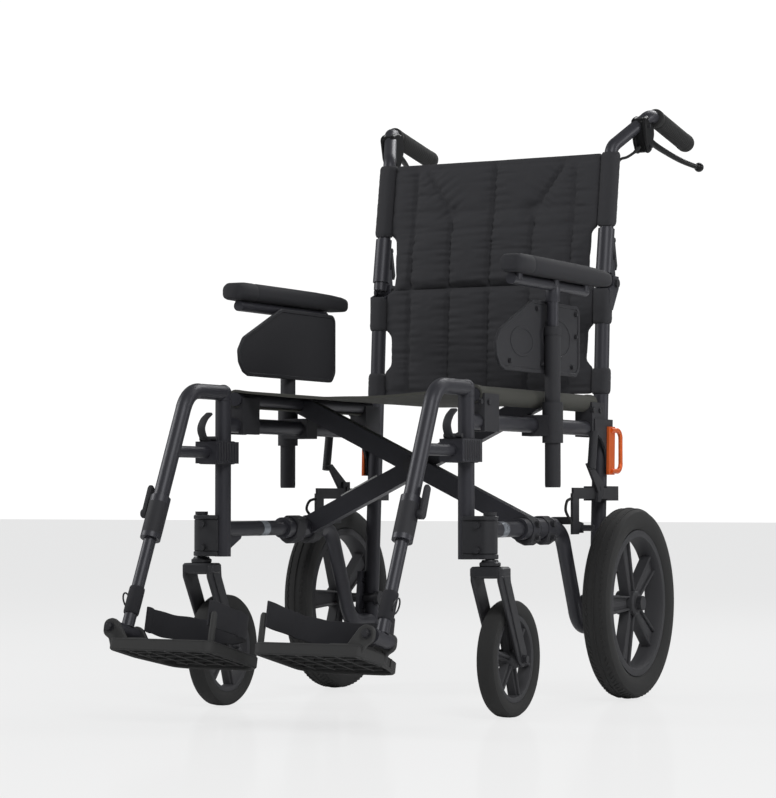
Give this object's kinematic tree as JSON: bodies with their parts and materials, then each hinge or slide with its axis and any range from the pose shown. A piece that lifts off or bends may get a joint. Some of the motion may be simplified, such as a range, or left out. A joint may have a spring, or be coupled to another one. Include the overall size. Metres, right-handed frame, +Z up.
{
  "type": "transit wheelchair",
  "caption": "Folding attendant-pushed transit wheelchair with a scissor cross brace, half-folding back, swing-away leg rests, front casters and small rear wheels.",
  "frame": {"origin": "on the floor under the middle of the whole chair, wheels touching the floor at z = 0", "axes": "+X to the seated person's left, +Y to the back, towards the push handles, +Z up"},
  "size_m": [0.595, 1.1544, 0.9987],
  "materials": {
    "frame_paint": "satin dark metallic grey powder coat",
    "housing_black": "satin black",
    "black_plastic": "fine-grained moulded nylon",
    "zinc_steel": "bright zinc plate",
    "orange_paint": "gloss orange paint",
    "grip_rubber": "matt moulded rubber",
    "cable_black": "smooth black sheath",
    "pad_urethane": "self-skinned soft foam with a leather grain",
    "hub_grey": "satin black moulded nylon",
    "tyre_rubber": "matt black rubber",
    "plate_plastic": "textured moulded nylon",
    "webbing": "woven polyester webbing",
    "seat_fabric": "coated woven nylon, dark olive grey",
    "back_fabric": "ribbed woven nylon, charcoal"
  },
  "bodies": {
    "left_frame": {"left_side_frame": "frame_paint", "left_caster_housing": "housing_black", "left_rail_fittings": "black_plastic", "left_hardware": "zinc_steel", "left_tie_down": "orange_paint", "left_lock_mount": "housing_black", "left_skirt_guard": "black_plastic", "back_lower": "back_fabric"},
    "left_cane": {"left_cane": "frame_paint", "left_grip": "grip_rubber", "left_brake_housing": "black_plastic", "left_brake_cable": "cable_black", "back_upper": "back_fabric"},
    "left_back_latch": {"left_back_latch": "housing_black"},
    "left_brake_lever": {"left_brake_lever": "black_plastic"},
    "left_armrest": {"left_armrest": "frame_paint", "left_arm_pad": "pad_urethane"},
    "left_caster_fork": {"left_caster_fork": "housing_black"},
    "left_caster_wheel": {"left_caster_hub": "hub_grey", "left_caster_tyre": "tyre_rubber"},
    "left_rear_wheel": {"left_wheel_rim": "hub_grey", "left_wheel_tyre": "tyre_rubber"},
    "left_hanger": {"left_hanger": "frame_paint"},
    "left_leg_tube": {"left_leg_tube": "frame_paint"},
    "left_length_lever": {"left_length_lever": "black_plastic"},
    "left_hanger_latch": {"left_hanger_latch": "black_plastic"},
    "left_footplate": {"left_footplate": "plate_plastic", "left_heel_strap": "webbing"},
    "left_lock_lever": {"left_lock_lever": "black_plastic"},
    "right_frame": {"right_side_frame": "frame_paint", "right_caster_housing": "housing_black", "right_rail_fittings": "black_plastic", "right_hardware": "zinc_steel", "right_tie_down": "orange_paint", "right_lock_mount": "housing_black", "right_skirt_guard": "black_plastic"},
    "right_cane": {"right_cane": "frame_paint", "right_grip": "grip_rubber", "right_brake_housing": "black_plastic", "right_brake_cable": "cable_black"},
    "right_back_latch": {"right_back_latch": "housing_black"},
    "right_brake_lever": {"right_brake_lever": "black_plastic"},
    "right_armrest": {"right_armrest": "frame_paint", "right_arm_pad": "pad_urethane"},
    "right_caster_fork": {"right_caster_fork": "housing_black"},
    "right_caster_wheel": {"right_caster_hub": "hub_grey", "right_caster_tyre": "tyre_rubber"},
    "right_rear_wheel": {"right_wheel_rim": "hub_grey", "right_wheel_tyre": "tyre_rubber"},
    "right_hanger": {"right_hanger": "frame_paint"},
    "right_leg_tube": {"right_leg_tube": "frame_paint"},
    "right_length_lever": {"right_length_lever": "black_plastic"},
    "right_hanger_latch": {"right_hanger_latch": "black_plastic"},
    "right_footplate": {"right_footplate": "plate_plastic", "right_heel_strap": "webbing"},
    "right_lock_lever": {"right_lock_lever": "black_plastic"},
    "brace_front": {"cross_arm_front": "frame_paint", "cross_pivot": "zinc_steel", "seat_sling": "seat_fabric"},
    "brace_rear": {"cross_arm_rear": "frame_paint"}
  },
  "joints": [
    {"name": "fold", "type": "hinge", "parent": "left_frame", "child": "brace_front", "pos_m": [0.211, -0.24478, 0.281], "axis": [0, 1, 0], "range_deg": [0, 46], "deforming": ["seat_sling", "back_upper", "back_lower"]},
    {"name": "brace_scissor", "type": "hinge", "parent": "brace_front", "child": "brace_rear", "pos_m": [0, -0.24478, 0.383], "axis": [0, 1, 0], "range_deg": [-92, 0]},
    {"name": "right_rail_hinge", "type": "hinge", "parent": "brace_rear", "child": "right_frame", "pos_m": [-0.211, -0.24478, 0.281], "axis": [0, 1, 0], "range_deg": [0, 46]},
    {"name": "left_back_fold", "type": "hinge", "parent": "left_frame", "child": "left_cane", "pos_m": [0.211, 0.30789, 0.69], "axis": [-1, 0, 0], "range_deg": [0, 120]},
    {"name": "left_back_latch", "type": "hinge", "parent": "left_cane", "child": "left_back_latch", "pos_m": [0.211, 0.31835, 0.764], "axis": [1, 0, 0], "range_deg": [0, 20], "stiffness_Nm_per_rad": 2, "springref_deg": -11.46},
    {"name": "left_brake_lever", "type": "hinge", "parent": "left_cane", "child": "left_brake_lever", "pos_m": [0.241, 0.40898, 0.949], "axis": [1, 0, 0], "range_deg": [0, 9], "stiffness_Nm_per_rad": 2, "springref_deg": -11.46},
    {"name": "left_arm_height", "type": "slide", "parent": "left_frame", "child": "left_armrest", "axis": [0, 0, 1], "range_m": [-0.026, 0.026]},
    {"name": "left_caster_swivel", "type": "hinge", "parent": "left_frame", "child": "left_caster_fork", "pos_m": [0.25, -0.24478, 0.238], "axis": [0, 0, 1], "continuous": true},
    {"name": "left_caster_spin", "type": "hinge", "parent": "left_caster_fork", "child": "left_caster_wheel", "pos_m": [0.25, -0.17878, 0.088], "axis": [1, 0, 0], "continuous": true},
    {"name": "left_wheel_spin", "type": "hinge", "parent": "left_frame", "child": "left_rear_wheel", "pos_m": [0.273, 0.24622, 0.157], "axis": [1, 0, 0], "continuous": true},
    {"name": "left_hanger_swing", "type": "hinge", "parent": "left_frame", "child": "left_hanger", "pos_m": [0.211, -0.24478, 0.494], "axis": [0, 0, 1], "range_deg": [0, 90]},
    {"name": "left_leg_length", "type": "slide", "parent": "left_hanger", "child": "left_leg_tube", "axis": [0, -0.4289, -0.9033], "range_m": [-0.05, 0.035]},
    {"name": "left_length_lever", "type": "hinge", "parent": "left_hanger", "child": "left_length_lever", "pos_m": [0.211, -0.43795, 0.306], "axis": [-1, 0, 0], "range_deg": [0, 70]},
    {"name": "left_hanger_latch", "type": "hinge", "parent": "left_hanger", "child": "left_hanger_latch", "pos_m": [0.211, -0.28878, 0.4214], "axis": [-1, 0, 0], "range_deg": [0, 15], "stiffness_Nm_per_rad": 2, "springref_deg": -11.46},
    {"name": "left_foot_flip", "type": "hinge", "parent": "left_leg_tube", "child": "left_footplate", "pos_m": [0.211, -0.52763, 0.134], "axis": [0, 0.9744, -0.225], "range_deg": [0, 90], "deforming": ["left_heel_strap"]},
    {"name": "left_wheel_lock", "type": "hinge", "parent": "left_frame", "child": "left_lock_lever", "pos_m": [0.2325, 0.20522, 0.345], "axis": [1, 0, 0], "range_deg": [0, 35]},
    {"name": "right_back_fold", "type": "hinge", "parent": "right_frame", "child": "right_cane", "pos_m": [-0.211, 0.30789, 0.69], "axis": [-1, 0, 0], "range_deg": [0, 120]},
    {"name": "right_back_latch", "type": "hinge", "parent": "right_cane", "child": "right_back_latch", "pos_m": [-0.211, 0.31835, 0.764], "axis": [1, 0, 0], "range_deg": [0, 20], "stiffness_Nm_per_rad": 2, "springref_deg": -11.46},
    {"name": "right_brake_lever", "type": "hinge", "parent": "right_cane", "child": "right_brake_lever", "pos_m": [-0.241, 0.40898, 0.949], "axis": [1, 0, 0], "range_deg": [0, 9], "stiffness_Nm_per_rad": 2, "springref_deg": -11.46},
    {"name": "right_arm_height", "type": "slide", "parent": "right_frame", "child": "right_armrest", "axis": [0, 0, 1], "range_m": [0, 0.052]},
    {"name": "right_caster_swivel", "type": "hinge", "parent": "right_frame", "child": "right_caster_fork", "pos_m": [-0.25, -0.24478, 0.238], "axis": [0, 0, 1], "continuous": true},
    {"name": "right_caster_spin", "type": "hinge", "parent": "right_caster_fork", "child": "right_caster_wheel", "pos_m": [-0.25, -0.17878, 0.088], "axis": [1, 0, 0], "continuous": true},
    {"name": "right_wheel_spin", "type": "hinge", "parent": "right_frame", "child": "right_rear_wheel", "pos_m": [-0.273, 0.24622, 0.157], "axis": [1, 0, 0], "continuous": true},
    {"name": "right_hanger_swing", "type": "hinge", "parent": "right_frame", "child": "right_hanger", "pos_m": [-0.211, -0.24478, 0.494], "axis": [0, 0, -1], "range_deg": [0, 90]},
    {"name": "right_leg_length", "type": "slide", "parent": "right_hanger", "child": "right_leg_tube", "axis": [0, -0.4289, -0.9033], "range_m": [-0.05, 0.035]},
    {"name": "right_length_lever", "type": "hinge", "parent": "right_hanger", "child": "right_length_lever", "pos_m": [-0.211, -0.43795, 0.306], "axis": [-1, 0, 0], "range_deg": [0, 70]},
    {"name": "right_hanger_latch", "type": "hinge", "parent": "right_hanger", "child": "right_hanger_latch", "pos_m": [-0.211, -0.28878, 0.4214], "axis": [-1, 0, 0], "range_deg": [0, 15], "stiffness_Nm_per_rad": 2, "springref_deg": -11.46},
    {"name": "right_foot_flip", "type": "hinge", "parent": "right_leg_tube", "child": "right_footplate", "pos_m": [-0.211, -0.52763, 0.134], "axis": [0, -0.9744, 0.225], "range_deg": [0, 90], "deforming": ["right_heel_strap"]},
    {"name": "right_wheel_lock", "type": "hinge", "parent": "right_frame", "child": "right_lock_lever", "pos_m": [-0.2325, 0.20522, 0.345], "axis": [1, 0, 0], "range_deg": [0, 35]}
  ],
  "couplings": [
    {"joint": "brace_scissor", "follows": "fold", "ratio": -2},
    {"joint": "right_rail_hinge", "follows": "fold", "ratio": 1},
    {"joint": "left_foot_flip", "follows": "fold", "ratio": 1.9564},
    {"joint": "right_foot_flip", "follows": "fold", "ratio": 1.9564},
    {"joint": "right_back_fold", "follows": "left_back_fold", "ratio": 1}
  ]
}
